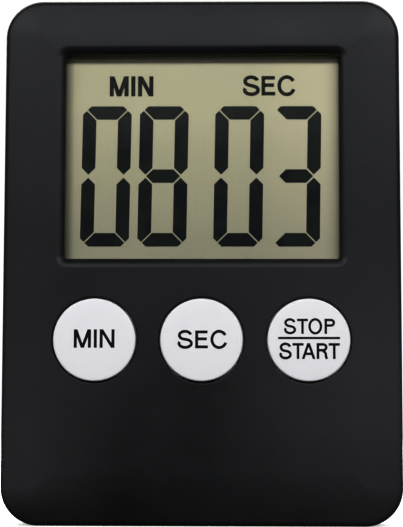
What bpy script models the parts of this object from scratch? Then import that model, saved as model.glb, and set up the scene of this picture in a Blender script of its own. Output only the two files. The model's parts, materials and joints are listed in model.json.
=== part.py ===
"""Slab-shaped digital kitchen timer with a fold-out stand, a magnet and a coin-turned battery door.

Run it with blender --background --python part.py, or from Blender's text editor.

Every length below is in millimetres, and the shape helpers turn it into metres. Seen from the front, +X is to
the right, the front faces -Y, +Z is up, and the timer stands on z = 0 with its stand folded flat.
"""

import math

import bmesh
import bpy
from mathutils import Matrix, Vector

MM = 0.001
PARTS = "kitchen_timer"
CUTTERS = "cutters"

# Case
BODY_WIDTH = 65.0
BODY_HEIGHT = 86.2
CORNER_RADIUS = 6.2
FACE_Y = -5.2
BACK_Y = 5.7
FRONT_EDGE = 1.3
BACK_EDGE = 1.1
WALL = 1.6
FRONT_INSIDE_Y = -3.4
BACK_INSIDE_Y = 4.2
FRONT_RIM_Y = 0.9
COVER_RIM_Y = 1.2
LIP_INSET = 1.9
LIP_INSIDE = 2.7
LIP_Y = (-0.6, 2.6)
EMBED = 0.4
THROUGH = 1.0

# Window and display stack, front to back
WINDOW_X = 22.45
WINDOW_Z = (43.2, 77.0)
WINDOW_CORNER = 0.5
WINDOW_CHAMFER = 1.2
LENS = {"x": 24.0, "y": (-3.1, -2.3), "z": (41.4, 78.8)}
FRONT_POLARISER = {"x": 23.9, "y": (-2.15, -1.95), "z": (41.9, 78.3)}
FRONT_GLASS = {"x": 24.5, "y": (-1.8, -1.1), "z": (40.6, 79.0)}
REAR_GLASS = {"x": 24.5, "y": (-0.95, -0.25), "z": (43.3, 79.0)}
REFLECTOR = {"x": 23.9, "y": (-0.1, 0.1), "z": (43.9, 78.3)}
ZEBRA = {"x": 22.0, "y": (-0.95, 0.25), "z": (40.95, 42.85)}
DISPLAY_RIB_X = (24.8, 25.6)
DISPLAY_RIB_Y = -0.4

# Buttons
BUTTONS = {"min": -17.33, "sec": 0.0, "start_stop": 17.33}
BUTTON_Z = 29.9
BUTTON_FACE_Y = -5.8
BUTTON_RADIUS = 6.68
BUTTON_HOLE_RADIUS = 6.9
BUTTON_EDGE = 0.3
FLANGE_RADIUS = 7.4
FLANGE_Y = (-3.1, -2.4)
PLUNGER_RADIUS = 1.6
PLUNGER_END_Y = -1.55
KEY_HALF_WIDTH = 1.0
KEY_REACH = 8.3

# Keypad and circuit board
WEB = {"x": 24.8, "y": (-0.4, 0.1), "z": (24.2, 36.2)}
WEB_HOLE_RADIUS = 3.6
DOME_TOP_Y = -1.5
PILL_RADIUS = 1.5
PILL_Y = (-0.75, -0.32)
BOARD = {"x": 29.2, "y": (0.4, 1.4), "z": (24.0, 50.0)}
BOARD_SCREWS = [(side * 27.2, z) for side in (-1, 1) for z in (26.5, 47.5)]
COMPONENT_Y = 1.55

# Case screws
CASE_SCREWS = [(side * 26.8, z) for side in (-1, 1) for z in (5.4, 80.8)]
PILOT_RADIUS = 1.3

# Battery, its well and its door, all round one axis along Y
BATTERY_Z = 14.5
CELL_RADIUS = 5.8
CELL_Y = (-1.2, 4.2)
WELL_RADIUS = 6.15
WELL_OUTER_RADIUS = 7.0
WELL_FLOOR_Y = (-2.9, -2.1)
DOOR_RADIUS = 8.0
DOOR_Y = (4.5, 5.7)
SKIRT_RADII = (6.1, 6.8)
TAB_RADIUS = 7.8
TAB_Y = (2.3, 3.0)
TAB_ANGLE = math.radians(36)
TABS = 3
UNLOCK_TURN = math.radians(45)
BOSS_RADIUS = 9.0

# Stand, hinged on the X axis line at STAND_AXIS
STAND_X = 15.0
STAND_AXIS = (4.6, 46.0)
STAND_Y = (3.9, 5.7)
STAND_FOOT_Z = 2.6
KNUCKLE_RADIUS = 1.0
STAND_PIN_RADIUS = 0.6
STAND_BORE_RADIUS = 0.8
RECESS_FLOOR_Y = 3.3
RECESS_FLOOR_INSIDE_Y = 2.3

# Magnet and buzzer
MAGNET = {"x": 16.0, "y": (3.6, 5.8), "z": (53.0, 64.0)}
BUZZER_Z = 74.8
BUZZER_RADIUS = 7.5

BLACK_PLASTIC = ((0.018, 0.019, 0.021), 0.55, 0.0)
WHITE_PLASTIC = ((0.72, 0.72, 0.75), 0.45, 0.0)
CLEAR_PLASTIC = ((0.80, 0.82, 0.80), 0.08, 0.0)
GLASS = ((0.60, 0.66, 0.60), 0.05, 0.0)
DISPLAY_GREY = ((0.31, 0.29, 0.18), 0.35, 0.0)
RUBBER_PINK = ((0.62, 0.30, 0.30), 0.6, 0.0)
RUBBER_GREY = ((0.45, 0.45, 0.44), 0.7, 0.0)
CARBON = ((0.02, 0.02, 0.02), 0.8, 0.0)
BOARD_GREEN = ((0.03, 0.16, 0.06), 0.45, 0.0)
EPOXY = ((0.01, 0.01, 0.01), 0.25, 0.0)
STEEL = ((0.60, 0.60, 0.60), 0.3, 1.0)
BRASS = ((0.70, 0.52, 0.22), 0.3, 1.0)
CERAMIC = ((0.80, 0.78, 0.70), 0.5, 0.0)
FERRITE = ((0.05, 0.05, 0.055), 0.7, 0.2)
RED_PVC = ((0.50, 0.02, 0.02), 0.5, 0.0)
BLACK_PVC = ((0.015, 0.015, 0.015), 0.5, 0.0)


def clear_scene():
    """Remove every object, and make the two collections the model is kept in."""
    for old in list(bpy.data.objects):
        bpy.data.objects.remove(old, do_unlink=True)
    for name in (PARTS, CUTTERS):
        bpy.context.scene.collection.children.link(bpy.data.collections.new(name))


def principled(name, finish):
    """A Principled material from a (colour, roughness, metallic) finish."""
    colour, roughness, metallic = finish
    material = bpy.data.materials.new(name)
    material.use_nodes = True
    shader = material.node_tree.nodes["Principled BSDF"]
    shader.inputs["Base Color"].default_value = (*colour, 1.0)
    shader.inputs["Roughness"].default_value = roughness
    shader.inputs["Metallic"].default_value = metallic
    material.diffuse_color = (*colour, 1.0)
    return material


def place(name, data, at, finish):
    """Put mesh or curve data in the scene: as a part when it has a finish, otherwise as a cutter."""
    obj = bpy.data.objects.new(name, data)
    obj.location = Vector(at) * MM
    if finish:
        bpy.data.collections[PARTS].objects.link(obj)
        data.materials.append(principled(name, finish))
    else:
        bpy.data.collections[CUTTERS].objects.link(obj)
        obj.hide_render = True
        obj.display_type = "WIRE"
    return obj


def mesh_from(bm, name):
    """Turn a bmesh in millimetres into a smooth-shaded mesh in metres."""
    bmesh.ops.scale(bm, vec=(MM, MM, MM), verts=bm.verts)
    bmesh.ops.recalc_face_normals(bm, faces=bm.faces)
    mesh = bpy.data.meshes.new(name)
    bm.to_mesh(mesh)
    bm.free()
    mesh.shade_smooth()
    mesh.set_sharp_from_angle(angle=math.radians(35))
    return mesh


def block(name, x, y, z, finish=None):
    """A plain box between pairs of limits."""
    bm = bmesh.new()
    bmesh.ops.create_cube(bm, size=1.0)
    size = (x[1] - x[0], y[1] - y[0], z[1] - z[0])
    bmesh.ops.scale(bm, vec=size, verts=bm.verts)
    centre = (sum(x) / 2, sum(y) / 2, sum(z) / 2)
    return place(name, mesh_from(bm, name), centre, finish)


def slab(name, x, y, z, corner, finish=None, front_edge=0.0, back_edge=0.0, flare=0.0, segments=6):
    """A box with its edges along Y rounded, and optional round front and back rims or a flared front."""
    width = x[1] - x[0]
    depth = y[1] - y[0]
    height = z[1] - z[0]
    bm = bmesh.new()
    bmesh.ops.create_cube(bm, size=1.0)
    bmesh.ops.scale(bm, vec=(width, depth, height), verts=bm.verts)
    along_y = [e for e in bm.edges if abs(e.verts[0].co.y - e.verts[1].co.y) > depth / 2]
    bmesh.ops.bevel(bm, geom=along_y, offset=corner, segments=segments, profile=0.5, affect="EDGES")
    for side, edge in ((-1, front_edge), (1, back_edge)):
        if edge:
            rim = [e for e in bm.edges if all(v.co.y * side > depth / 2 - 1e-4 for v in e.verts)]
            bmesh.ops.bevel(bm, geom=rim, offset=edge, segments=3, profile=0.5, affect="EDGES")
    if flare:
        for vertex in bm.verts:
            if vertex.co.y < 0:
                vertex.co.x += math.copysign(flare, vertex.co.x)
                vertex.co.z += math.copysign(flare, vertex.co.z)
    centre = (sum(x) / 2, sum(y) / 2, sum(z) / 2)
    return place(name, mesh_from(bm, name), centre, finish)


def sheet(name, size, finish):
    """A flat plate of the display stack, from its half width and its limits along Y and Z."""
    return block(name, (-size["x"], size["x"]), size["y"], size["z"], finish)


def rod(name, radius, along, limits, centre, finish=None, segments=24):
    """A cylinder along an axis between two limits."""
    turn = {"x": Matrix.Rotation(math.radians(90), 4, "Y"), "y": Matrix.Rotation(math.radians(-90), 4, "X"),
            "z": Matrix.Identity(4)}[along]
    bm = bmesh.new()
    bmesh.ops.create_cone(bm, cap_ends=True, segments=segments, radius1=radius, radius2=radius,
                          depth=limits[1] - limits[0], matrix=turn)
    middle = sum(limits) / 2
    at = {"x": (middle, *centre), "y": (centre[0], middle, centre[1]), "z": (*centre, middle)}[along]
    return place(name, mesh_from(bm, name), at, finish)


def turned(name, profile, at, finish, segments):
    """A turned piece whose axis runs along Y. The profile holds (radius, y) points from the front centre,
    down the outer side, to the back, with y counted from the piece's own place."""
    mesh = bpy.data.meshes.new(name)
    points = [(radius * MM, 0.0, -y * MM) for radius, y in profile]
    edges = [(i, i + 1) for i in range(len(points) - 1)]
    mesh.from_pydata(points, edges, [])
    obj = place(name, mesh, at, finish)
    obj.rotation_euler.x = math.radians(90)
    screw = obj.modifiers.new("turn", "SCREW")
    screw.axis = "Z"
    screw.steps = segments
    screw.render_steps = segments
    screw.use_merge_vertices = True
    screw.merge_threshold = 0.00001
    screw.use_smooth_shade = True
    return obj


def outline(name, points, thickness, at, turn, finish=None):
    """A flat closed outline, filled and given a thickness, as a welded mesh."""
    curve = bpy.data.curves.new(name, "CURVE")
    curve.dimensions = "2D"
    curve.fill_mode = "BOTH"
    curve.extrude = thickness / 2 * MM
    spline = curve.splines.new("POLY")
    spline.points.add(len(points) - 1)
    for point, (u, v) in zip(spline.points, points):
        point.co = (u * MM, v * MM, 0.0, 1.0)
    spline.use_cyclic_u = True
    drawn = bpy.data.objects.new(name + "_outline", curve)
    bpy.data.collections[CUTTERS].objects.link(drawn)
    bpy.context.view_layer.update()
    mesh = bpy.data.meshes.new_from_object(drawn.evaluated_get(bpy.context.evaluated_depsgraph_get()))
    bpy.data.objects.remove(drawn, do_unlink=True)
    bpy.data.curves.remove(curve)
    bm = bmesh.new()
    bm.from_mesh(mesh)
    bmesh.ops.remove_doubles(bm, verts=bm.verts, dist=0.000001)
    bmesh.ops.transform(bm, matrix=turn, verts=bm.verts)
    bmesh.ops.recalc_face_normals(bm, faces=bm.faces)
    bm.to_mesh(mesh)
    bm.free()
    mesh.name = name
    return place(name, mesh, at, finish)


def arc_band(name, radii, middle_angle, angle, y, centre, finish=None):
    """Part of a flat ring round an axis along Y, from its radii, the angle of its middle and its width."""
    steps = 6
    turns = [middle_angle + angle * (i / steps - 0.5) for i in range(steps + 1)]
    outer = [(radii[1] * math.cos(t), radii[1] * math.sin(t)) for t in turns]
    inner = [(radii[0] * math.cos(t), radii[0] * math.sin(t)) for t in reversed(turns)]
    at = (centre[0], sum(y) / 2, centre[1])
    upright = Matrix.Rotation(math.radians(90), 4, "X")
    return outline(name, outer + inner, y[1] - y[0], at, upright, finish)


def strip(name, path, thickness, z, finish):
    """A bent metal strip: a path in the XY plane, thickened to one side, as wide as the limits along Z."""
    points = [Vector(p) for p in path]
    offset = []
    for i, point in enumerate(points):
        before = (point - points[max(i - 1, 0)]).normalized()
        after = (points[min(i + 1, len(points) - 1)] - point).normalized()
        mean = (before + after).normalized()
        normal = Vector((-mean.y, mean.x))
        half_turn = before.angle(after, 0.0) / 2 if 0 < i < len(points) - 1 else 0.0
        offset.append(point + normal * thickness / math.cos(half_turn))
    loop = [tuple(p) for p in points] + [tuple(p) for p in reversed(offset)]
    return outline(name, loop, z[1] - z[0], (0, 0, sum(z) / 2), Matrix.Identity(4), finish)


def smooth_route(route, steps):
    """Points along a Catmull-Rom curve through a route's own points."""
    ends = [route[0], *route, route[-1]]
    points = []
    for a, b, c, d in zip(ends, ends[1:], ends[2:], ends[3:]):
        a, b, c, d = Vector(a), Vector(b), Vector(c), Vector(d)
        for i in range(steps):
            t = i / steps
            points.append(0.5 * (2 * b + (c - a) * t + (2 * a - 5 * b + 4 * c - d) * t * t
                                 + (3 * b - a - 3 * c + d) * t ** 3))
    return points + [Vector(route[-1])]


def wire(name, route, radius, finish):
    """An insulated wire through a route's points."""
    points = smooth_route(route, 2)
    curve = bpy.data.curves.new(name, "CURVE")
    curve.dimensions = "3D"
    curve.bevel_depth = radius * MM
    curve.bevel_resolution = 2
    curve.use_fill_caps = True
    spline = curve.splines.new("POLY")
    spline.points.add(len(points) - 1)
    for point, position in zip(spline.points, points):
        point.co = (*(position * MM), 1.0)
    return place(name, curve, (0, 0, 0), finish)


def combine(target, tool, operation):
    """Add one Boolean step to a part, with the exact solver."""
    step = target.modifiers.new(tool.name, "BOOLEAN")
    step.solver = "EXACT"
    step.operation = operation
    step.object = tool


def cut(target, *tools):
    for tool in tools:
        combine(target, tool, "DIFFERENCE")


def join(target, *tools):
    for tool in tools:
        combine(target, tool, "UNION")


def inset(amount):
    """The X and Z limits and the corner radius of the case outline, moved inwards."""
    half = BODY_WIDTH / 2 - amount
    return {"x": (-half, half), "z": (amount, BODY_HEIGHT - amount), "corner": CORNER_RADIUS - amount}


def front_shell():
    """Front half of the case: face, side walls, window, button holes, display ribs and screw bosses."""
    shell = slab("front_shell", y=(FACE_Y, FRONT_RIM_Y), **inset(0.0), finish=BLACK_PLASTIC,
                 front_edge=FRONT_EDGE)
    cut(shell, slab("front_hollow", y=(FRONT_INSIDE_Y, FRONT_RIM_Y + THROUGH), **inset(WALL)))
    for i, (x, z) in enumerate(CASE_SCREWS):
        join(shell, rod(f"case_boss_{i}", 2.2, "y", (FRONT_INSIDE_Y - EMBED, 2.3), (x, z)))
        cut(shell, rod(f"case_pilot_{i}", PILOT_RADIUS, "y", (-2.4, 3.0), (x, z), segments=16))
    for i, (x, z) in enumerate(BOARD_SCREWS):
        join(shell, rod(f"board_boss_{i}", 1.9, "y", (FRONT_INSIDE_Y - EMBED, 0.1), (x, z), segments=24))
        cut(shell, rod(f"board_pilot_{i}", 1.1, "y", (-2.7, 0.5), (x, z), segments=16))
    rib_y = (FRONT_INSIDE_Y - EMBED, DISPLAY_RIB_Y)
    for side in (-1, 1):
        rib_x = sorted(side * edge for edge in DISPLAY_RIB_X)
        join(shell, block(f"display_rib_{side}", rib_x, rib_y, (52.0, 76.0)))
    join(shell, block("display_rib_top", (-20.0, 20.0), rib_y, (79.3, 80.1)))
    join(shell, block("display_rib_bottom", (-20.0, 20.0), (rib_y[0], -1.2), (39.5, 40.3)))
    for label, x in BUTTONS.items():
        for side in (-1, 1):
            guide_x = sorted(x + side * (KEY_HALF_WIDTH + edge) for edge in (0.3, 1.1))
            guide_z = (BUTTON_Z + 7.7, BUTTON_Z + 8.9)
            join(shell, block(f"key_guide_{label}_{side}", guide_x, (rib_y[0], -1.6), guide_z))
        hole = rod(f"button_hole_{label}", BUTTON_HOLE_RADIUS, "y", (FACE_Y - THROUGH, -2.9),
                   (x, BUTTON_Z), segments=40)
        cut(shell, hole)
    window_x = (-WINDOW_X, WINDOW_X)
    cut(shell, slab("window", window_x, (FACE_Y - THROUGH, -2.9), WINDOW_Z, WINDOW_CORNER, segments=2))
    past = 0.1
    chamfer_x = (window_x[0] + past, window_x[1] - past)
    chamfer_y = (FACE_Y - past, FACE_Y + WINDOW_CHAMFER + past)
    chamfer_z = (WINDOW_Z[0] + past, WINDOW_Z[1] - past)
    cut(shell, slab("window_chamfer", chamfer_x, chamfer_y, chamfer_z, WINDOW_CORNER,
                    flare=WINDOW_CHAMFER + 2 * past, segments=2))


def door_angle(index):
    return math.radians(90) + 2 * math.pi * index / TABS


def battery_well(cover):
    """The well, the door's seat and ledge, and the slots for the two contacts, on the rear cover."""
    centre = (0.0, BATTERY_Z)
    join(cover, rod("well_wall", WELL_OUTER_RADIUS, "y", (WELL_FLOOR_Y[0], 2.9), centre, segments=32))
    join(cover, rod("door_boss", BOSS_RADIUS, "y", (0.9, BACK_Y), centre, segments=40))
    cut(cover, rod("door_seat", DOOR_RADIUS + 0.3, "y", (BACK_INSIDE_Y, BACK_Y + THROUGH), centre,
                   segments=40))
    cut(cover, rod("ledge_hole", 7.1, "y", (3.2, BACK_INSIDE_Y + THROUGH), centre, segments=32))
    cut(cover, rod("undercut", 8.1, "y", (1.9, 3.3), centre, segments=32))
    cut(cover, rod("well", WELL_RADIUS, "y", (WELL_FLOOR_Y[1], 2.4), centre, segments=32))
    for i in range(TABS):
        cut(cover, arc_band(f"tab_notch_{i}", (6.6, 8.15), door_angle(i) - UNLOCK_TURN,
                            TAB_ANGLE + math.radians(8), (3.0, BACK_INSIDE_Y + EMBED), centre))
    cut(cover, block("positive_slot", (5.6, 7.6), (-3.4, 1.6), (BATTERY_Z - 1.9, BATTERY_Z + 1.9)))
    cut(cover, block("negative_slot", (-7.6, -5.6), (-2.3, -1.2), (BATTERY_Z - 1.9, BATTERY_Z + 1.9)))


def stand_recess(cover):
    """The hollow that the stand folds into, its hinge bores and the fingernail scoops beside it."""
    axis_y, axis_z = STAND_AXIS
    join(cover, block("recess_backing", (-17.8, 17.8), (RECESS_FLOOR_INSIDE_Y, BACK_INSIDE_Y + EMBED),
                      (1.0, 49.0)))
    cut(cover, slab("stand_hollow", (-STAND_X - 0.3, STAND_X + 0.3), (RECESS_FLOOR_Y, BACK_Y + THROUGH),
                    (STAND_FOOT_Z - 0.3, axis_z + 1.3), 0.8, segments=3))
    cut(cover, rod("hinge_bores", STAND_BORE_RADIUS, "x", (-16.9, 16.9), (axis_y, axis_z), segments=20))
    for side in (-1, 1):
        cut(cover, rod(f"nail_scoop_{side}", 3.4, "y", (4.8, BACK_Y + THROUGH),
                       (side * (STAND_X + 0.6), 7.5), segments=24))


def rear_cover():
    """Back half of the case: lip, screw seats, battery well, stand recess, magnet pocket, buzzer seat."""
    cover = slab("rear_cover", y=(COVER_RIM_Y, BACK_Y), **inset(0.0), finish=BLACK_PLASTIC,
                 back_edge=BACK_EDGE)
    join(cover, slab("lip", y=(LIP_Y[0], COVER_RIM_Y + EMBED), **inset(LIP_INSET)))
    cut(cover, slab("lip_hollow", y=(LIP_Y[0] - THROUGH, LIP_Y[1]), **inset(LIP_INSIDE)))
    cut(cover, slab("cover_hollow", y=(LIP_Y[1] - EMBED, BACK_INSIDE_Y), **inset(WALL)))
    for i, (x, z) in enumerate(CASE_SCREWS):
        join(cover, rod(f"screw_seat_{i}", 3.0, "y", (2.6, BACK_INSIDE_Y + EMBED), (x, z)))
        cut(cover, rod(f"screw_counterbore_{i}", 2.2, "y", (BACK_INSIDE_Y, BACK_Y + THROUGH), (x, z)))
        cut(cover, rod(f"screw_hole_{i}", PILOT_RADIUS, "y", (2.0, 5.0), (x, z), segments=16))
    stand_recess(cover)
    battery_well(cover)
    pocket_x = (-MAGNET["x"] - 0.3, MAGNET["x"] + 0.3)
    pocket_z = (MAGNET["z"][0] - 0.3, MAGNET["z"][1] + 0.3)
    join(cover, block("pocket_backing", (pocket_x[0] - 1.3, pocket_x[1] + 1.3),
                      (RECESS_FLOOR_INSIDE_Y, BACK_INSIDE_Y + EMBED),
                      (pocket_z[0] - 1.2, pocket_z[1] + 1.2)))
    cut(cover, block("magnet_pocket", pocket_x, (RECESS_FLOOR_Y, BACK_Y + THROUGH), pocket_z))
    buzzer_centre = (0.0, BUZZER_Z)
    join(cover, rod("buzzer_ring", 8.6, "y", (2.9, BACK_INSIDE_Y + EMBED), buzzer_centre))
    cut(cover, rod("buzzer_seat", BUZZER_RADIUS + 0.3, "y", (2.0, 3.7), buzzer_centre))
    cut(cover, rod("buzzer_cavity", 6.6, "y", (3.5, BACK_INSIDE_Y), buzzer_centre))
    cut(cover, rod("sound_hole_middle", 0.8, "y", (3.0, BACK_Y + THROUGH), buzzer_centre, segments=12))
    for i in range(6):
        turn = math.radians(60 * i)
        at = (3.0 * math.cos(turn), BUZZER_Z + 3.0 * math.sin(turn))
        cut(cover, rod(f"sound_hole_{i}", 0.6, "y", (3.0, BACK_Y + THROUGH), at, segments=12))


def display():
    """Lens, polariser, the two glasses, reflector and the rubber contact strip that feeds them."""
    sheet("display_lens", LENS, CLEAR_PLASTIC)
    sheet("lcd_front_polariser", FRONT_POLARISER, CLEAR_PLASTIC)
    sheet("lcd_front_glass", FRONT_GLASS, GLASS)
    sheet("lcd_rear_glass", REAR_GLASS, GLASS)
    sheet("lcd_reflector", REFLECTOR, DISPLAY_GREY)
    sheet("zebra_strip", ZEBRA, RUBBER_PINK)


def button(label, x):
    """A hollow cap with a flange that stops it, a plunger, and a key that keeps its legend upright."""
    face = BUTTON_FACE_Y
    profile = [(0.0, face), (BUTTON_RADIUS - BUTTON_EDGE, face), (BUTTON_RADIUS, face + BUTTON_EDGE),
               (BUTTON_RADIUS, FLANGE_Y[0]), (FLANGE_RADIUS, FLANGE_Y[0]), (FLANGE_RADIUS, FLANGE_Y[1]),
               (5.6, FLANGE_Y[1]), (5.6, -4.6), (PLUNGER_RADIUS, -4.6), (PLUNGER_RADIUS, PLUNGER_END_Y),
               (0.0, PLUNGER_END_Y)]
    cap = turned(f"button_{label}", profile, (x, 0.0, BUTTON_Z), WHITE_PLASTIC, segments=40)
    key_x = (x - KEY_HALF_WIDTH, x + KEY_HALF_WIDTH)
    key_z = (BUTTON_Z + FLANGE_RADIUS - 0.6, BUTTON_Z + KEY_REACH)
    join(cap, block(f"button_key_{label}", key_x, (FLANGE_Y[0] + 0.05, FLANGE_Y[1] - 0.05), key_z))


def keypad():
    """The silicone web with its three collapsing domes, and the carbon pill under each."""
    web = sheet("keypad_web", WEB, RUBBER_GREY)
    for label, x in BUTTONS.items():
        at = (x, BUTTON_Z)
        cut(web, rod(f"web_hole_{label}", WEB_HOLE_RADIUS, "y", (-THROUGH, THROUGH), at, segments=24))
        dome = [(0.0, DOME_TOP_Y), (2.2, DOME_TOP_Y), (2.2, -1.0), (3.3, 0.1), (2.9, 0.1), (1.8, -0.9),
                (0.0, -0.9)]
        turned(f"keypad_dome_{label}", dome, (x, 0.0, BUTTON_Z), RUBBER_GREY, segments=20)
        rod(f"carbon_pill_{label}", PILL_RADIUS, "y", PILL_Y, at, CARBON, segments=20)


def circuit_board():
    """The board that carries the contacts, the chip and the parts that drive the buzzer."""
    board = slab("circuit_board", (-BOARD["x"], BOARD["x"]), BOARD["y"], BOARD["z"], 1.0, BOARD_GREEN,
                 segments=2)
    for i, at in enumerate(BOARD_SCREWS):
        cut(board, rod(f"board_hole_{i}", 1.1, "y", (-THROUGH, 3.0), at, segments=16))
    blob = [(0.0, COMPONENT_Y), (4.4, COMPONENT_Y), (3.6, 1.85), (2.4, 2.05), (0.0, 2.12)]
    turned("chip_blob", blob, (0.0, 0.0, 36.0), EPOXY, segments=24)
    rod("crystal", 1.0, "z", (30.0, 36.0), (22.0, COMPONENT_Y + 1.0), STEEL, segments=16)
    coil = [(0.0, 1.6), (2.3, 1.6), (2.3, 2.0), (1.7, 2.0), (1.7, 3.1), (2.3, 3.1), (2.3, 3.5), (0.0, 3.5)]
    turned("boost_coil", coil, (-22.5, 0.0, 33.0), FERRITE, segments=20)
    small_parts = {
        "transistor": ((-24.0, -21.1), 1.1, (40.0, 41.4), EPOXY),
        "capacitor": ((21.0, 24.2), 1.4, (40.5, 42.1), CERAMIC),
        "resistor_1": ((-19.9, -18.7), 0.6, (27.0, 29.2), EPOXY),
        "resistor_2": ((-19.9, -18.7), 0.6, (44.0, 46.2), EPOXY),
        "resistor_3": ((24.4, 25.6), 0.6, (31.0, 33.2), EPOXY),
    }
    for name, (x, height, z, finish) in small_parts.items():
        block(name, x, (COMPONENT_Y, COMPONENT_Y + height), z, finish)


def screw(name, x, z, under_head_y, length, shank_radius, head_radius, head_height):
    """A self-tapping screw driven from the back, with a domed head and a cross recess."""
    head_y = under_head_y + head_height
    tip_y = under_head_y - length
    profile = [(0.0, tip_y), (shank_radius * 0.5, tip_y + 0.3), (shank_radius, tip_y + 1.0),
               (shank_radius, under_head_y), (head_radius, under_head_y),
               (head_radius, head_y - head_height * 0.5), (head_radius * 0.7, head_y), (0.0, head_y)]
    body = turned(name, profile, (x, 0.0, z), STEEL, segments=12)
    reach = head_radius * 0.6
    slot_y = (head_y - head_height * 0.5, head_y + THROUGH)
    cut(body, block(name + "_slot_x", (x - reach, x + reach), slot_y, (z - 0.2, z + 0.2)))
    cut(body, block(name + "_slot_z", (x - 0.2, x + 0.2), slot_y, (z - reach, z + reach)))


def screws():
    for i, (x, z) in enumerate(CASE_SCREWS, 1):
        screw(f"case_screw_{i}", x, z, 4.5, 6.0, 1.0, 1.85, 1.0)
    for i, (x, z) in enumerate(BOARD_SCREWS, 1):
        screw(f"board_screw_{i}", x, z, 1.7, 4.0, 0.8, 1.6, 0.9)


def battery():
    """The button cell, the strips that touch its wall and its base, and the wires to the board."""
    low, high = CELL_Y
    cell = [(0.0, low), (4.6, low), (4.6, low + 0.4), (5.4, low + 0.7), (CELL_RADIUS, low + 1.1),
            (CELL_RADIUS, high - 0.3), (CELL_RADIUS - 0.3, high), (0.0, high)]
    turned("button_cell", cell, (0.0, 0.0, BATTERY_Z), STEEL, segments=32)
    width = (BATTERY_Z - 1.5, BATTERY_Z + 1.5)
    strip("battery_contact_positive", [(6.1, 1.2), (6.1, -0.9), (6.9, -1.8), (9.6, -1.8)], 0.2, width, STEEL)
    strip("battery_contact_negative", [(-9.6, -1.75), (-4.0, -1.75), (-1.6, -1.6), (1.6, -1.6)], 0.2, width,
          STEEL)
    for side, name, finish in ((1, "positive", RED_PVC), (-1, "negative", BLACK_PVC)):
        route = [(10.5, -1.5, BATTERY_Z), (14.0, -0.7, 15.3), (18.0, 0.8, 17.8), (20.3, 2.4, 21.3),
                 (20.6, 2.7, 24.3), (20.6, 2.4, 26.4), (20.6, 2.0, 27.2)]
        wire(f"battery_wire_{name}", [(side * x, y, z) for x, y, z in route], 0.4, finish)


def battery_door():
    """A round door, turned with a coin, whose skirt carries three tabs that lock under the ledge."""
    inner, outer = SKIRT_RADII
    profile = [(0.0, DOOR_Y[0]), (inner, DOOR_Y[0]), (inner, TAB_Y[0]), (outer, TAB_Y[0]),
               (outer, DOOR_Y[0]), (DOOR_RADIUS, DOOR_Y[0]), (DOOR_RADIUS, DOOR_Y[1] - 0.2),
               (DOOR_RADIUS - 0.2, DOOR_Y[1]), (0.0, DOOR_Y[1])]
    door = turned("battery_door", profile, (0.0, 0.0, BATTERY_Z), BLACK_PLASTIC, segments=40)
    for i in range(TABS):
        join(door, arc_band(f"door_tab_{i}", (outer - 0.35, TAB_RADIUS), door_angle(i), TAB_ANGLE,
                            (TAB_Y[0] + 0.05, TAB_Y[1]), (0.0, BATTERY_Z)))
    cut(door, block("coin_slot", (-5.0, 5.0), (DOOR_Y[1] - 0.7, DOOR_Y[1] + THROUGH),
                    (BATTERY_Z - 0.7, BATTERY_Z + 0.7)))


def stand():
    """A flat leg hinged near its top, with a round window that clears the battery door's boss."""
    axis_y, axis_z = STAND_AXIS
    hinge = bpy.data.objects.new("stand_hinge", None)
    hinge.location = (0.0, axis_y * MM, axis_z * MM)
    bpy.data.collections[PARTS].objects.link(hinge)
    leg = slab("stand", (-STAND_X, STAND_X), STAND_Y, (STAND_FOOT_Z, axis_z - 0.2), 1.0, BLACK_PLASTIC,
               segments=3)
    join(leg, rod("stand_knuckle", KNUCKLE_RADIUS, "x", (-STAND_X + 0.05, STAND_X - 0.05),
                  (axis_y, axis_z), segments=24))
    join(leg, rod("stand_pins", STAND_PIN_RADIUS, "x", (-STAND_X - 1.5, STAND_X + 1.5), (axis_y, axis_z),
                  segments=16))
    cut(leg, rod("boss_window", BOSS_RADIUS + 0.3, "y", (STAND_Y[0] - THROUGH, STAND_Y[1] + THROUGH),
                 (0.0, BATTERY_Z), segments=40))
    bpy.context.view_layer.update()
    leg.parent = hinge
    leg.matrix_parent_inverse = hinge.matrix_world.inverted()


def magnet_and_buzzer():
    """The magnet in its pocket, the buzzer's brass disc and ceramic, and the buzzer's two wires."""
    block("magnet", (-MAGNET["x"], MAGNET["x"]), MAGNET["y"], MAGNET["z"], FERRITE)
    rod("buzzer_disc", BUZZER_RADIUS, "y", (3.2, 3.4), (0.0, BUZZER_Z), BRASS, segments=32)
    rod("buzzer_ceramic", 5.0, "y", (2.8, 3.0), (0.0, BUZZER_Z), CERAMIC)
    live = [(2.0, 2.2, 74.0), (7.0, 1.9, 73.0), (13.0, 1.6, 70.0), (17.4, 1.5, 66.0), (19.2, 1.8, 61.0),
            (19.4, 2.3, 54.0), (19.4, 2.6, 49.0), (19.4, 2.1, 46.6)]
    ground = [(6.4, 2.7, 76.5), (10.0, 2.0, 76.0), (15.0, 1.7, 73.0), (19.2, 1.6, 67.5), (20.6, 1.8, 61.0),
              (20.8, 2.3, 54.0), (20.8, 2.6, 49.0), (20.8, 2.1, 46.6)]
    wire("buzzer_wire_live", live, 0.4, RED_PVC)
    wire("buzzer_wire_ground", ground, 0.4, BLACK_PVC)


def main():
    clear_scene()
    front_shell()
    rear_cover()
    display()
    for label, x in BUTTONS.items():
        button(label, x)
    keypad()
    circuit_board()
    screws()
    battery()
    battery_door()
    stand()
    magnet_and_buzzer()


main()
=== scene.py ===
"""Looks of the kitchen timer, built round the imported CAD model.

Lengths are in millimetres until the shape helpers turn them into metres. The front faces -Y and +Z is up.
Each visible plastic part is rebuilt with its real roundings, and everything hidden inside keeps its CAD shape
and gets a material of its own.
"""

import json
import math

import bmesh
import bpy
from mathutils import Matrix, Vector


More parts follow.
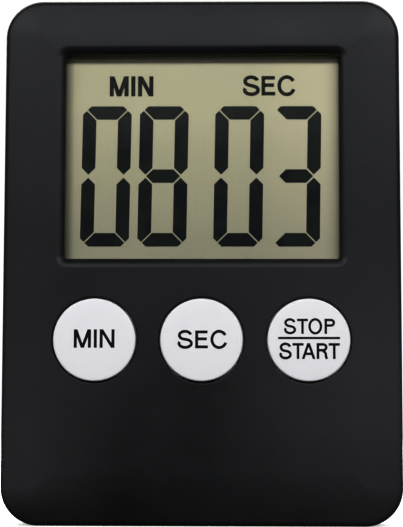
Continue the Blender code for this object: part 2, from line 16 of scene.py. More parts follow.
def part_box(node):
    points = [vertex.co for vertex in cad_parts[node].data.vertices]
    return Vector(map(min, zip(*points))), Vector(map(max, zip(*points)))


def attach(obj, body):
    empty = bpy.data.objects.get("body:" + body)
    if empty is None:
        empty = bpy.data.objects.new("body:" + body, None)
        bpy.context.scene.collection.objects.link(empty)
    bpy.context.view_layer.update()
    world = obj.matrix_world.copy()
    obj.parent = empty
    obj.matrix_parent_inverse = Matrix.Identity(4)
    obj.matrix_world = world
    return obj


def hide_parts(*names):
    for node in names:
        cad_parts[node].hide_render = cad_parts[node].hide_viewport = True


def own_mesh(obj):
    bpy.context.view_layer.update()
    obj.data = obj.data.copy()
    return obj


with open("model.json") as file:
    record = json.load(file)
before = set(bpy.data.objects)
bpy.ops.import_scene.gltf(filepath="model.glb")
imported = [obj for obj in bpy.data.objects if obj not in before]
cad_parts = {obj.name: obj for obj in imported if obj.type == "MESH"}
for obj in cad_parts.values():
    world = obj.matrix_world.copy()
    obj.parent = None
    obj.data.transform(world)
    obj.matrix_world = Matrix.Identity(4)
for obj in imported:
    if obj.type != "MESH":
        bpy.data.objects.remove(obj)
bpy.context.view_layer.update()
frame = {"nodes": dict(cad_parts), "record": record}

MM = 0.001
QUARTER = math.pi / 2
SHARP_ANGLE = math.radians(32)
# How far a cutter runs past a surface, how deep an added piece starts in its wall,
# and how far a pocket's rounded mouth starts outside the surface it is cut in
THROUGH = 1.0
EMBED = 0.4
PROUD = 0.004


def limits(node):
    """A CAD node's X, Y and Z limits in millimetres."""
    low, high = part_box(node)
    return [(a / MM, b / MM) for a, b in zip(low, high)]


def middle(node):
    return [(a + b) / 2 for a, b in limits(node)]


# Case: its limits come from the CAD, and its roundings are added here
SHELL_X, SHELL_Y, SHELL_Z = limits("front_shell")
FACE_Y = SHELL_Y[0]
BACK_Y = limits("rear_cover")[1][1]
CORNER_RADIUS = 6.2
WALL = 1.6
FRONT_WALL = 1.8
BACK_WALL = 1.5
FRONT_INSIDE_Y = FACE_Y + FRONT_WALL
BACK_INSIDE_Y = BACK_Y - BACK_WALL
FRONT_RIM_Y = 0.9
COVER_RIM_Y = 1.2
RIM_EDGE = 0.18
FACE_EDGE = 0.9
BACK_EDGE = 1.1
SMALL_EDGE = 0.25
# The face falls away by this much over this width, towards its rim
CROWN_DROP = 0.88
CROWN_WIDTH = 9.0
CROWN_POWER = 2.0
# Where the cutters for the window and the button holes end, inside the front shell
OPENING_END_Y = -2.9

# Window and buttons
WINDOW_X = (-22.45, 22.45)
WINDOW_Z = (43.2, 77.0)
WINDOW_CORNER = 0.4
WINDOW_EDGE = 1.65
WINDOW_SINK = 1.25
BUTTON_LABELS = ("min", "sec", "start_stop")
BUTTON_RADIUS = 6.68
BUTTON_HOLE_RADIUS = 6.9
BUTTON_HOLE_EDGE = 0.3
BUTTON_EDGE = 0.28
BUTTON_CROWN = 0.06


# ---------------------------------------------------------------- shapes

def rounded_loop(x, z, corner, outset, steps):
    """Points round a rectangle with round corners, grown or shrunk by the outset."""
    half_x = (x[1] - x[0]) / 2 + outset
    half_z = (z[1] - z[0]) / 2 + outset
    smallest = 0.02
    radius = max(corner + outset, smallest)
    centre = ((x[0] + x[1]) / 2, (z[0] + z[1]) / 2)
    points = []
    for quarter, (side_x, side_z) in enumerate(((1, 1), (-1, 1), (-1, -1), (1, -1))):
        for i in range(steps + 1):
            turn = QUARTER * (quarter + i / steps)
            points.append((centre[0] + side_x * (half_x - radius) + radius * math.cos(turn),
                           centre[1] + side_z * (half_z - radius) + radius * math.sin(turn)))
    return points


def circle_loop(centre, radius, steps):
    turns = [2 * math.pi * i / steps for i in range(steps)]
    return [(centre[0] + radius * math.cos(t), centre[1] + radius * math.sin(t)) for t in turns]


def shaded(mesh):
    mesh.shade_smooth()
    mesh.set_sharp_from_angle(angle=SHARP_ANGLE)


def finished(name, bm, material=None):
    """A smooth-shaded object, in metres, from a bmesh in millimetres."""
    bmesh.ops.scale(bm, vec=(MM, MM, MM), verts=bm.verts)
    bmesh.ops.recalc_face_normals(bm, faces=bm.faces)
    mesh = bpy.data.meshes.new(name)
    bm.to_mesh(mesh)
    bm.free()
    shaded(mesh)
    obj = bpy.data.objects.new(name, mesh)
    bpy.context.scene.collection.objects.link(obj)
    if material:
        mesh.materials.append(material)
    return obj


def loft(name, rings, material=None):
    """A closed solid through rings of points, each ring a loop in the XZ plane and its Y."""
    bm = bmesh.new()
    rows = [[bm.verts.new((u, y, v)) for u, v in loop] for loop, y in rings]
    for upper, lower in zip(rows, rows[1:]):
        for i in range(len(upper)):
            j = (i + 1) % len(upper)
            bm.faces.new((upper[i], upper[j], lower[j], lower[i]))
    bm.faces.new(rows[0])
    bm.faces.new(rows[-1])
    return finished(name, bm, material)


def block(name, x, y, z, material=None):
    bm = bmesh.new()
    bmesh.ops.create_cube(bm, size=1.0)
    size = (x[1] - x[0], y[1] - y[0], z[1] - z[0])
    bmesh.ops.scale(bm, vec=size, verts=bm.verts)
    bmesh.ops.translate(bm, vec=(sum(x) / 2, sum(y) / 2, sum(z) / 2), verts=bm.verts)
    return finished(name, bm, material)


def arc_steps(radius, count):
    """Quarter-round edge: pairs of (distance from the flat, depth below it), from the flat to the wall."""
    for i in range(count + 1):
        turn = QUARTER * i / count
        yield radius * (1 - math.sin(turn)), radius * (1 - math.cos(turn))


def pocket(name, loop, mouth_y, floor_y, edge, outside, steps, sink=None):
    """A cutter for a hole with a rounded mouth.

    loop(outset) is its outline, outside is -1 in front and 1 behind, and sink is the rounding's depth
    where it differs from its width.
    """
    steepness = (sink or edge) / edge
    rings = [(loop(edge), mouth_y + outside * THROUGH)]
    for spread, depth in arc_steps(edge, steps):
        rings.append((loop(spread), mouth_y - outside * (depth * steepness - PROUD)))
    rings.append((loop(0.0), floor_y))
    return loft(name, rings)


def post(name, loop, base_y, top_y, edge, material=None):
    """A solid standing back to top_y, with a rounded rear edge: loop(outset) is its outline."""
    rings = [(loop(0.0), base_y)]
    for spread, depth in reversed(list(arc_steps(edge, 4))):
        rings.append((loop(-spread), top_y - depth))
    return loft(name, rings, material)


def rod(name, centre, radius, y, steps=48):
    """A cylinder along Y."""
    loop = circle_loop(centre, radius, steps)
    return loft(name, [(loop, end) for end in y])


def cross_rod(name, centre, radius, x):
    """A cylinder along X, at a centre in the YZ plane."""
    bm = bmesh.new()
    turn = Matrix.Rotation(QUARTER, 4, "Y")
    bmesh.ops.create_cone(bm, cap_ends=True, segments=40, radius1=radius, radius2=radius,
                          depth=x[1] - x[0], matrix=turn)
    bmesh.ops.translate(bm, vec=((x[0] + x[1]) / 2, *centre), verts=bm.verts)
    return finished(name, bm)


def turned(name, centre, profile, material, steps=96):
    """A solid turned about an axis along Y, from (radius, y) points from front to back."""
    smallest = 0.01
    rings = [(circle_loop(centre, max(radius, smallest), steps), y) for radius, y in profile]
    return loft(name, rings, material)


def combined(target, steps):
    """Apply Boolean steps, each a tool and its operation, and remove the tools."""
    for tool, operation in steps:
        step = target.modifiers.new(tool.name, "BOOLEAN")
        step.solver = "EXACT"
        step.operation = operation
        step.object = tool
    bpy.context.view_layer.update()
    graph = bpy.context.evaluated_depsgraph_get()
    mesh = bpy.data.meshes.new_from_object(target.evaluated_get(graph))
    target.modifiers.clear()
    old = target.data
    target.data = mesh
    bpy.data.meshes.remove(old)
    mesh.name = target.name
    for tool, _ in steps:
        data = tool.data
        bpy.data.objects.remove(tool, do_unlink=True)
        bpy.data.meshes.remove(data)
    shaded(mesh)
    shading = target.modifiers.new("flat faces stay flat", "WEIGHTED_NORMAL")
    shading.keep_sharp = True
    shading.weight = 80
    return target


def cut(*tools):
    return [(tool, "DIFFERENCE") for tool in tools]


def add(*tools):
    return [(tool, "UNION") for tool in tools]


# ---------------------------------------------------------------- materials

class Nodes:
    """Short calls for building one material's node tree."""

    def __init__(self, name):
        self.material = bpy.data.materials.new(name)
        self.material.use_nodes = True
        self.tree = self.material.node_tree
        self.shader = self.tree.nodes["Principled BSDF"]
        self.place = self.new("ShaderNodeTexCoord").outputs["Object"]

    def new(self, kind, **settings):
        node = self.tree.nodes.new(kind)
        for key, value in settings.items():
            setattr(node, key, value)
        return node

    def link(self, source, target):
        self.tree.links.new(source, target)

    def scaled(self, scale):
        """Object coordinates stretched by three factors."""
        mapping = self.new("ShaderNodeMapping")
        mapping.inputs["Scale"].default_value = scale
        self.link(self.place, mapping.inputs["Vector"])
        return mapping.outputs["Vector"]

    def noise(self, scale, detail, roughness, vector=None):
        node = self.new("ShaderNodeTexNoise")
        node.inputs["Scale"].default_value = scale
        node.inputs["Detail"].default_value = detail
        node.inputs["Roughness"].default_value = roughness
        self.link(vector or self.place, node.inputs["Vector"])
        return node.outputs["Fac"]

    def spread(self, value, low, high, start=0.3, end=0.7):
        """Map a value from start..end to low..high. The default start and end suit a noise."""
        node = self.new("ShaderNodeMapRange")
        for socket, number in zip(("From Min", "From Max", "To Min", "To Max"), (start, end, low, high)):
            node.inputs[socket].default_value = number
        self.link(value, node.inputs["Value"])
        return node.outputs["Result"]

    def axes(self):
        """The object's own X and Z as two outputs."""
        split = self.new("ShaderNodeSeparateXYZ")
        self.link(self.place, split.inputs["Vector"])
        return split.outputs["X"], split.outputs["Z"]

    def joined(self, operation, *values):
        """Several outputs multiplied, added or compared, one after another."""
        total = values[0]
        for value in values[1:]:
            step = self.new("ShaderNodeMath", operation=operation)
            self.link(total, step.inputs[0])
            self.link(value, step.inputs[1])
            total = step.outputs["Value"]
        return total

    def blend(self, factor, first, second, kind="MIX"):
        """Mix or multiply two colours, each a tuple or another node's output."""
        node = self.new("ShaderNodeMix", data_type="RGBA", blend_type=kind)
        self.link(factor, node.inputs["Factor"])
        for socket, colour in ((node.inputs["A"], first), (node.inputs["B"], second)):
            if isinstance(colour, tuple):
                socket.default_value = (*colour, 1.0)
            else:
                self.link(colour, socket)
        return node.outputs["Result"]

    def bump(self, height, strength, distance, after=None):
        node = self.new("ShaderNodeBump")
        node.inputs["Strength"].default_value = strength
        node.inputs["Distance"].default_value = distance
        self.link(height, node.inputs["Height"])
        if after:
            self.link(after, node.inputs["Normal"])
        return node.outputs["Normal"]

    def set(self, **values):
        """Set or link the shader's sockets, with an underscore for each space in a name."""
        for key, value in values.items():
            socket = self.shader.inputs[key.replace("_", " ")]
            if isinstance(value, tuple):
                socket.default_value = (*value, 1.0)
            elif isinstance(value, (int, float)):
                socket.default_value = value
            else:
                self.link(value, socket)
        return self.material


def painted_lower_sheen(n):
    """Painted sheen: how much lighter the face is made, most beside and below the buttons, more to the right.
    """
    x, z = n.axes()
    left = n.joined("MULTIPLY", n.spread(x, 0.9, 0.0, -0.028, -0.014), n.spread(z, 1.0, 0.0, 0.010, 0.048),
                    n.spread(z, 0.2, 1.0, 0.002, 0.006))
    right = n.joined("MULTIPLY", n.spread(x, 0.0, 1.0, 0.001, 0.026), n.spread(z, 1.0, 0.0, 0.026, 0.048),
                     n.spread(z, 0.35, 1.0, 0.003, 0.016))
    return n.joined("ADD", left, right)


def textured_plastic(name, colour, lighter, roughness, texture, painted_sheen_colour=None):
    """Moulded plastic with a spark-eroded texture, faint handling marks and uneven gloss, and painted sheen
    on its lower sides when a sheen colour is given.
    """
    fine_depth, coarse_depth = 0.00002, 0.00003
    n = Nodes(name)
    handled = n.noise(55.0, 4.0, 0.6)
    fine = n.noise(texture, 2.0, 0.5)
    coarse = n.noise(texture * 0.35, 2.0, 0.5)
    base = n.blend(n.spread(handled, 0.0, 1.0), colour, lighter)
    # Painted sheen: the base colour is lightened towards the lower left and right, where light catches the
    # face
    if painted_sheen_colour:
        base = n.blend(painted_lower_sheen(n), base, painted_sheen_colour)
    gloss = n.spread(handled, roughness - 0.05, roughness + 0.05)
    normal = n.bump(coarse, 0.5, coarse_depth, after=n.bump(fine, 0.45, fine_depth))
    return n.set(Base_Color=base, Roughness=gloss, Normal=normal, IOR=1.5, Specular_IOR_Level=0.31,
                 Specular_Tint=(0.93, 0.955, 1.0))


def smooth_plastic(name, colour, shade, roughness):
    """Smooth moulded plastic with a little flow mottling."""
    n = Nodes(name)
    mottle = n.noise(140.0, 5.0, 0.6)
    fine = n.noise(2600.0, 2.0, 0.5)
    base = n.blend(n.spread(mottle, 0.0, 1.0), colour, shade)
    gloss = n.spread(mottle, roughness - 0.06, roughness + 0.06)
    return n.set(Base_Color=base, Roughness=gloss, Normal=n.bump(fine, 0.15, 0.00001))


def ink(name, colour, roughness):
    n = Nodes(name)
    body = n.noise(900.0, 3.0, 0.6)
    lighter = tuple(channel * 1.8 + 0.001 for channel in colour)
    return n.set(Base_Color=n.blend(n.spread(body, 0.0, 1.0), colour, lighter),
                 Roughness=n.spread(body, roughness - 0.08, roughness + 0.08), Specular_IOR_Level=0.12)


def segment_ink(name):
    """The lit segments: nearly black, with the faint blue and green patches of polarised light."""
    n = Nodes(name)
    patches = n.noise(260.0, 2.0, 0.5)
    film = n.noise(900.0, 3.0, 0.6)
    bluer, greener = (0.0032, 0.0052, 0.0068), (0.0088, 0.0150, 0.0112)
    base = n.blend(n.spread(patches, 0.0, 1.0, 0.38, 0.62), bluer, greener)
    return n.set(Base_Color=base, Roughness=n.spread(film, 0.42, 0.58), Specular_IOR_Level=0.12)


def display_surface(name):
    """The unlit display: mottled olive grey, with painted light making it paler to the right and painted
    shade making it darker low down and beside the window's side walls.
    """
    n = Nodes(name)
    mottle = n.noise(2200.0, 3.0, 0.7)
    cloud = n.noise(70.0, 2.0, 0.5)
    x, z = n.axes()
    left, right = (edge * MM for edge in WINDOW_X)
    foot, top = (edge * MM for edge in WINDOW_Z)
    base = n.blend(n.spread(cloud, 0.0, 1.0), (0.468, 0.449, 0.283), (0.507, 0.483, 0.302))
    base = n.blend(n.spread(mottle, 0.0, 0.3), base, (0.62, 0.60, 0.42))
    # Painted light: paler towards the right
    base = n.blend(n.spread(x, 0.0, 1.0, 0.008, 0.021), base, (0.60, 0.56, 0.37))
    # Painted shade: darker low down
    low = n.spread(z, 1.0, 0.0, foot + 0.003, top - 0.009)
    base = n.blend(low, base, (0.68, 0.69, 0.74), "MULTIPLY")
    # Painted shade: darker beside the window's left and right walls, where their shadows fall
    painted_wall_shade = n.joined("MAXIMUM", n.spread(x, 1.0, 0.0, left, left + 0.0013),
                    n.spread(x, 0.0, 0.5, right - 0.0005, right))
    base = n.blend(painted_wall_shade, base, (0.35, 0.35, 0.35), "MULTIPLY")
    return n.set(Base_Color=base, Roughness=n.spread(mottle, 0.42, 0.55))


def clear_plastic(name):
    """The clear lens: polished, with faint rubbed patches."""
    n = Nodes(name)
    rubbed = n.noise(300.0, 4.0, 0.7)
    n.material.surface_render_method = "BLENDED"
    return n.set(Base_Color=(0.02, 0.02, 0.02), Roughness=n.spread(rubbed, 0.04, 0.12), Alpha=0.05, IOR=1.49,
                 Specular_IOR_Level=1.0)


def thin_glass(name, tint):
    n = Nodes(name)
    haze = n.noise(400.0, 3.0, 0.6)
    n.material.surface_render_method = "BLENDED"
    return n.set(Base_Color=tint, Roughness=n.spread(haze, 0.03, 0.08), Alpha=0.25, IOR=1.52)


def metal(name, colour, roughness, stretch):
    """Rolled or drawn metal, with its grain along one axis."""
    n = Nodes(name)
    grain = n.noise(1.0, 3.0, 0.6, vector=n.scaled(stretch))
    dull = n.noise(180.0, 3.0, 0.5)
    darker = tuple(channel * 0.72 for channel in colour)
    return n.set(Base_Color=n.blend(n.spread(dull, 0.0, 1.0), colour, darker), Metallic=1.0,
                 Roughness=n.spread(grain, roughness - 0.08, roughness + 0.1),
                 Normal=n.bump(grain, 0.2, 0.00001))


def rubber(name, colour, shade):
    n = Nodes(name)
    body = n.noise(800.0, 4.0, 0.6)
    return n.set(Base_Color=n.blend(n.spread(body, 0.0, 1.0), colour, shade),
                 Roughness=n.spread(body, 0.6, 0.8), Normal=n.bump(body, 0.2, 0.00003))


def striped_rubber(name):
    """The contact strip: carbon-loaded and clear rubber in thin slices along its length."""
    n = Nodes(name)
    wave = n.new("ShaderNodeTexWave", bands_direction="X")
    wave.inputs["Scale"].default_value = 800.0
    n.link(n.place, wave.inputs["Vector"])
    base = n.blend(wave.outputs["Fac"], (0.62, 0.30, 0.30), (0.04, 0.035, 0.035))
    return n.set(Base_Color=base, Roughness=0.6)


def laminate(name):
    """Green solder mask over copper tracks."""
    n = Nodes(name)
    weave = n.noise(1500.0, 2.0, 0.5)
    tracks = n.new("ShaderNodeTexBrick")
    tracks.inputs["Scale"].default_value = 260.0
    tracks.inputs["Mortar Size"].default_value = 0.06
    upright = n.new("ShaderNodeMapping")
    upright.inputs["Rotation"].default_value = (QUARTER, 0.0, 0.0)
    n.link(n.place, upright.inputs["Vector"])
    n.link(upright.outputs["Vector"], tracks.inputs["Vector"])
    base = n.blend(tracks.outputs["Fac"], (0.015, 0.12, 0.035), (0.03, 0.20, 0.06))
    return n.set(Base_Color=base, Roughness=n.spread(weave, 0.3, 0.5), Normal=n.bump(weave, 0.3, 0.00002))


def mineral(name, colour, shade, roughness):
    """Sintered ferrite or ceramic, with a granular surface."""
    n = Nodes(name)
    grains = n.new("ShaderNodeTexVoronoi")
    grains.inputs["Scale"].default_value = 2200.0
    n.link(n.place, grains.inputs["Vector"])
    pits = n.noise(700.0, 4.0, 0.7)
    return n.set(Base_Color=n.blend(n.spread(pits, 0.0, 1.0), colour, shade),
                 Roughness=n.spread(pits, roughness - 0.1, roughness + 0.1),
                 Normal=n.bump(grains.outputs["Distance"], 0.35, 0.00003))


# The case's last colour is painted sheen for the lower sides of its face
CASE = textured_plastic("case_plastic", (0.0046, 0.0047, 0.0054), (0.0098, 0.0100, 0.0112), 0.47,
                        texture=2600.0, painted_sheen_colour=(0.0275, 0.0277, 0.0295))
STAND = textured_plastic("stand_plastic", (0.0040, 0.0041, 0.0045), (0.0082, 0.0083, 0.0090), 0.42,
                         texture=2300.0)
WHITE = smooth_plastic("button_plastic", (0.770, 0.763, 0.790), (0.740, 0.733, 0.760), 0.42)
LEGEND = ink("legend_ink", (0.0015, 0.0015, 0.002), 0.55)
SEGMENT = segment_ink("display_segment")
PRINT = ink("display_print", (0.0025, 0.003, 0.002), 0.55)
DISPLAY = display_surface("display_surface")

SLOT_MATERIALS = {
    "case_plastic": CASE,
    "button_plastic": WHITE,
    "lens_plastic": clear_plastic("lens_plastic"),
    "polariser_film": DISPLAY,
    "lcd_glass": thin_glass("lcd_glass", (0.75, 0.8, 0.76)),
    "reflector_film": display_surface("reflector_film"),
    "zebra_rubber": striped_rubber("zebra_rubber"),
    "keypad_silicone": rubber("keypad_silicone", (0.42, 0.42, 0.41), (0.36, 0.36, 0.35)),
    "carbon_rubber": rubber("carbon_rubber", (0.02, 0.02, 0.02), (0.035, 0.035, 0.035)),
    "board_laminate": laminate("board_laminate"),
    "black_epoxy": smooth_plastic("black_epoxy", (0.01, 0.01, 0.01), (0.016, 0.015, 0.014), 0.25),
    "ceramic": mineral("ceramic", (0.72, 0.70, 0.62), (0.64, 0.61, 0.53), 0.5),
    "steel": metal("steel", (0.58, 0.57, 0.55), 0.3, (900.0, 900.0, 900.0)),
    "battery_steel": metal("battery_steel", (0.62, 0.62, 0.61), 0.28, (200.0, 4000.0, 200.0)),
    "contact_steel": metal("contact_steel", (0.60, 0.59, 0.56), 0.3, (300.0, 300.0, 4000.0)),
    "ferrite": mineral("ferrite", (0.045, 0.045, 0.048), (0.075, 0.073, 0.072), 0.55),
    "brass": metal("brass", (0.68, 0.49, 0.20), 0.3, (4000.0, 200.0, 200.0)),
    "red_insulation": smooth_plastic("red_insulation", (0.42, 0.012, 0.012), (0.34, 0.010, 0.010), 0.45),
    "black_insulation": smooth_plastic("black_insulation", (0.012, 0.012, 0.012), (0.02, 0.02, 0.02),
                                       0.45),
}


def finish_cad_nodes():
    """Give every CAD node the material of its slot."""
    for part in frame["record"]["subparts"]:
        mesh = frame["nodes"][part["node"]].data
        mesh.materials.clear()
        mesh.materials.append(SLOT_MATERIALS[part["material_slot"]])


def replacement(piece, body, slot, *nodes):
    """Let a new piece ride on a body and stand for CAD nodes."""
    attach(piece, body)
    if nodes:
        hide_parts(*nodes)


# ---------------------------------------------------------------- case

CASE_SCREWS = [(middle(f"case_screw_{i}")[0], middle(f"case_screw_{i}")[2]) for i in range(1, 5)]
BOARD_SCREWS = [(middle(f"board_screw_{i}")[0], middle(f"board_screw_{i}")[2]) for i in range(1, 5)]
# Screw bosses inside the front shell: radius and rear end, and the pilot hole's radius and Y limits
CASE_BOSS = (2.2, 2.3, 1.3, (-2.4, 3.0))
BOARD_BOSS = (1.9, 0.1, 1.1, (-2.7, 0.5))
# Ribs round the display: side ribs, then the two cross ribs
SIDE_RIB_X, SIDE_RIB_Z, RIB_END_Y = (24.8, 25.6), (52.0, 76.0), -0.4
CROSS_RIB_X, TOP_RIB_Z = (-20.0, 20.0), (79.3, 80.1)
BOTTOM_RIB_Z, BOTTOM_RIB_END_Y = (39.5, 40.3), -1.2
# The two rails that keep a button's key upright, measured from the button's axis
RAIL_X, RAIL_Z, RAIL_END_Y = (1.3, 2.1), (7.7, 8.9), -1.6


def outline(outset):
    return rounded_loop(SHELL_X, SHELL_Z, CORNER_RADIUS, outset, 24)


def face_profile():
    """The front's cross-section, as (inset, y) from the parting line to the flat of the face."""
    yield RIM_EDGE, FRONT_RIM_Y
    yield RIM_EDGE * 0.3, FRONT_RIM_Y - RIM_EDGE * 0.3
    yield 0.0, FRONT_RIM_Y - RIM_EDGE
    steps = 10
    insets = [FACE_EDGE * (1 - math.cos(QUARTER * i / steps)) for i in range(steps + 1)]
    insets += [FACE_EDGE + (CROWN_WIDTH - FACE_EDGE) * i / steps for i in range(1, steps + 1)]
    for inset in insets:
        crown = CROWN_DROP * (1 - inset / CROWN_WIDTH) ** CROWN_POWER
        reach = max(FACE_EDGE - inset, 0.0)
        edge = FACE_EDGE - math.sqrt(FACE_EDGE ** 2 - reach ** 2)
        yield inset, FACE_Y + crown + edge


def front_shell():
    """Front half of the case, with its pillowed face, window, button holes, bosses, ribs and rails."""
    shell = loft("front_shell_visual", [(outline(-inset), y) for inset, y in face_profile()], CASE)
    steps = cut(loft("hollow", [(outline(-WALL), FRONT_INSIDE_Y), (outline(-WALL), FRONT_RIM_Y + THROUGH)]))
    start_y = FRONT_INSIDE_Y - EMBED
    for kind, screws, (radius, end_y, pilot_radius, pilot_y) in (("case", CASE_SCREWS, CASE_BOSS),
                                                                 ("board", BOARD_SCREWS, BOARD_BOSS)):
        for i, at in enumerate(screws):
            steps += add(rod(f"{kind}_boss_{i}", at, radius, (start_y, end_y)))
            steps += cut(rod(f"{kind}_pilot_{i}", at, pilot_radius, pilot_y))
    for side in (-1, 1):
        rib_x = sorted(side * edge for edge in SIDE_RIB_X)
        steps += add(block(f"rib_{side}", rib_x, (start_y, RIB_END_Y), SIDE_RIB_Z))
    steps += add(block("rib_top", CROSS_RIB_X, (start_y, RIB_END_Y), TOP_RIB_Z))
    steps += add(block("rib_bottom", CROSS_RIB_X, (start_y, BOTTOM_RIB_END_Y), BOTTOM_RIB_Z))
    for label in BUTTON_LABELS:
        x, _, z = button_centre(label)
        for side in (-1, 1):
            rail_x = sorted(x + side * edge for edge in RAIL_X)
            rail_z = [z + edge for edge in RAIL_Z]
            steps += add(block(f"rail_{label}_{side}", rail_x, (start_y, RAIL_END_Y), rail_z))

        def hole(outset, at=(x, z)):
            return circle_loop(at, BUTTON_HOLE_RADIUS + outset, 128)

        steps += cut(pocket(f"hole_{label}", hole, FACE_Y, OPENING_END_Y, BUTTON_HOLE_EDGE, -1, steps=5))

    def window(outset):
        return rounded_loop(WINDOW_X, WINDOW_Z, WINDOW_CORNER, outset, 10)

    steps += cut(pocket("window", window, FACE_Y, OPENING_END_Y, WINDOW_EDGE, -1, steps=12, sink=WINDOW_SINK))
    replacement(combined(shell, steps), "case", "case_plastic", "front_shell")


def button_centre(label):
    """The middle of a button's carbon pill, which is round and centred on the button's axis."""
    return middle(f"carbon_pill_{label}")


# ---------------------------------------------------------------- back

BATTERY_AT = (middle("button_cell")[0], middle("button_cell")[2])
BUZZER_AT = (middle("buzzer_disc")[0], middle("buzzer_disc")[2])
# The lip that enters the front shell: outer and inner inset, and how far forward it reaches
LIP_INSET, LIP_HOLLOW_INSET, LIP_Y = 1.9, 2.7, -0.6
COVER_INSIDE_START_Y = 2.2
SEAT_RADIUS, SEAT_START_Y = 3.0, 2.6
COUNTERBORE_RADIUS, SCREW_HOLE_RADIUS = 2.2, 1.3
MAGNET_GAP = 0.3
STAND_X = 15.0
STAND_AXIS_Y = 4.6
STAND_AXIS_Z = 46.0
STAND_Y = (3.9, 5.7)
STAND_FOOT_Z = limits("stand")[2][0]
STAND_GAP = 0.3
HINGE_PIN_RADIUS, HINGE_BORE_RADIUS, KNUCKLE_RADIUS = 0.6, 0.8, 1.0
RECESS_FLOOR_Y = 3.3
RECESS_INSIDE_Y = 2.3
BOSS_RADIUS = 9.0
BUZZER_RING_RADIUS, BUZZER_SEAT_RADIUS, BUZZER_CAVITY_RADIUS = 8.6, 7.8, 6.6
SOUND_HOLE_RING, MIDDLE_HOLE_RADIUS, OUTER_HOLE_RADIUS = 3.0, 0.8, 0.6
# Battery door: rim, skirt and the three tabs that lock under the boss's ledge after a turn
DOOR_RADIUS, SKIRT_RADIUS, SKIRT_INSIDE_RADIUS, SKIRT_Y = 8.0, 6.8, 6.1, (2.3, 4.5)
TAB_RADII, TAB_ANGLE, TAB_Y = (6.45, 7.8), math.radians(36), (2.35, 3.0)
NOTCH_RADII, NOTCH_ANGLE = (6.6, 8.15), math.radians(44)
DOOR_TURN_DEGREES = 45


def cover_profile():
    """The back's cross-section, as (inset, y) from the parting line to the flat of the back."""
    yield RIM_EDGE, COVER_RIM_Y
    yield RIM_EDGE * 0.3, COVER_RIM_Y + RIM_EDGE * 0.3
    yield 0.0, COVER_RIM_Y + RIM_EDGE
    for spread, depth in reversed(list(arc_steps(BACK_EDGE, 10))):
        yield spread, BACK_Y - depth


def sector(radii, middle_angle, angle, centre):
    """Outline of part of a flat ring."""
    steps = 12
    turns = [middle_angle + angle * (i / steps - 0.5) for i in range(steps + 1)]
    outer = [(radii[1] * math.cos(t), radii[1] * math.sin(t)) for t in turns]
    inner = [(radii[0] * math.cos(t), radii[0] * math.sin(t)) for t in reversed(turns)]
    return [(centre[0] + u, centre[1] + v) for u, v in outer + inner]


def rear_cover():
    """Back half of the case, with its lip, screw seats, stand recess, battery well and buzzer seat."""
    cover = loft("rear_cover_visual", [(outline(-inset), y) for inset, y in cover_profile()], CASE)
    steps = add(loft("lip", [(outline(-LIP_INSET), LIP_Y), (outline(-LIP_INSET), COVER_RIM_Y + EMBED)]))
    steps += cut(loft("lip_hollow", [(outline(-LIP_HOLLOW_INSET), -2.0), (outline(-LIP_HOLLOW_INSET), 2.6)]))
    steps += cut(loft("cover_hollow", [(outline(-WALL), y) for y in (COVER_INSIDE_START_Y, BACK_INSIDE_Y)]))
    inside_y = BACK_INSIDE_Y + EMBED
    for i, at in enumerate(CASE_SCREWS):
        steps += add(rod(f"seat_{i}", at, SEAT_RADIUS, (SEAT_START_Y, inside_y)))

        def counterbore(outset, at=at):
            return circle_loop(at, COUNTERBORE_RADIUS + outset, 64)

        steps += cut(pocket(f"counterbore_{i}", counterbore, BACK_Y, BACK_INSIDE_Y, 0.2, 1, steps=4))
        steps += cut(rod(f"screw_hole_{i}", at, SCREW_HOLE_RADIUS, (2.0, 5.0)))
    steps += stand_recess()
    steps += battery_well()
    steps += magnet_pocket()
    steps += buzzer_seat()
    replacement(combined(cover, steps), "case", "case_plastic", "rear_cover")


def magnet_pocket():
    """Boolean steps for the magnet's pocket and the wall behind it."""
    (left, right), _, (foot, top) = limits("magnet")
    x = (left - MAGNET_GAP, right + MAGNET_GAP)
    z = (foot - MAGNET_GAP, top + MAGNET_GAP)
    steps = add(block("pocket_backing", (x[0] - 1.3, x[1] + 1.3), (RECESS_INSIDE_Y, BACK_INSIDE_Y + EMBED),
                      (z[0] - 1.2, z[1] + 1.2)))

    def magnet_hole(outset):
        return rounded_loop(x, z, 0.3, outset, 6)

    return steps + cut(pocket("magnet_pocket", magnet_hole, BACK_Y, RECESS_FLOOR_Y, SMALL_EDGE, 1, steps=5))


def buzzer_seat():
    """Boolean steps for the buzzer's ring, its cavity and the seven sound holes."""
    steps = add(rod("buzzer_ring", BUZZER_AT, BUZZER_RING_RADIUS, (2.9, BACK_INSIDE_Y + EMBED), 96))
    steps += cut(rod("buzzer_seat", BUZZER_AT, BUZZER_SEAT_RADIUS, (2.0, 3.7), 96))
    steps += cut(rod("buzzer_cavity", BUZZER_AT, BUZZER_CAVITY_RADIUS, (3.5, BACK_INSIDE_Y), 96))
    holes = [(BUZZER_AT, MIDDLE_HOLE_RADIUS)]
    for i in range(6):
        turn = math.radians(60 * i)
        holes.append(((BUZZER_AT[0] + SOUND_HOLE_RING * math.cos(turn),
                       BUZZER_AT[1] + SOUND_HOLE_RING * math.sin(turn)), OUTER_HOLE_RADIUS))
    for i, (at, radius) in enumerate(holes):

        def sound_hole(outset, at=at, radius=radius):
            return circle_loop(at, radius + outset, 32)

        steps += cut(pocket(f"sound_hole_{i}", sound_hole, BACK_Y, 3.0, 0.15, 1, steps=4))
    return steps


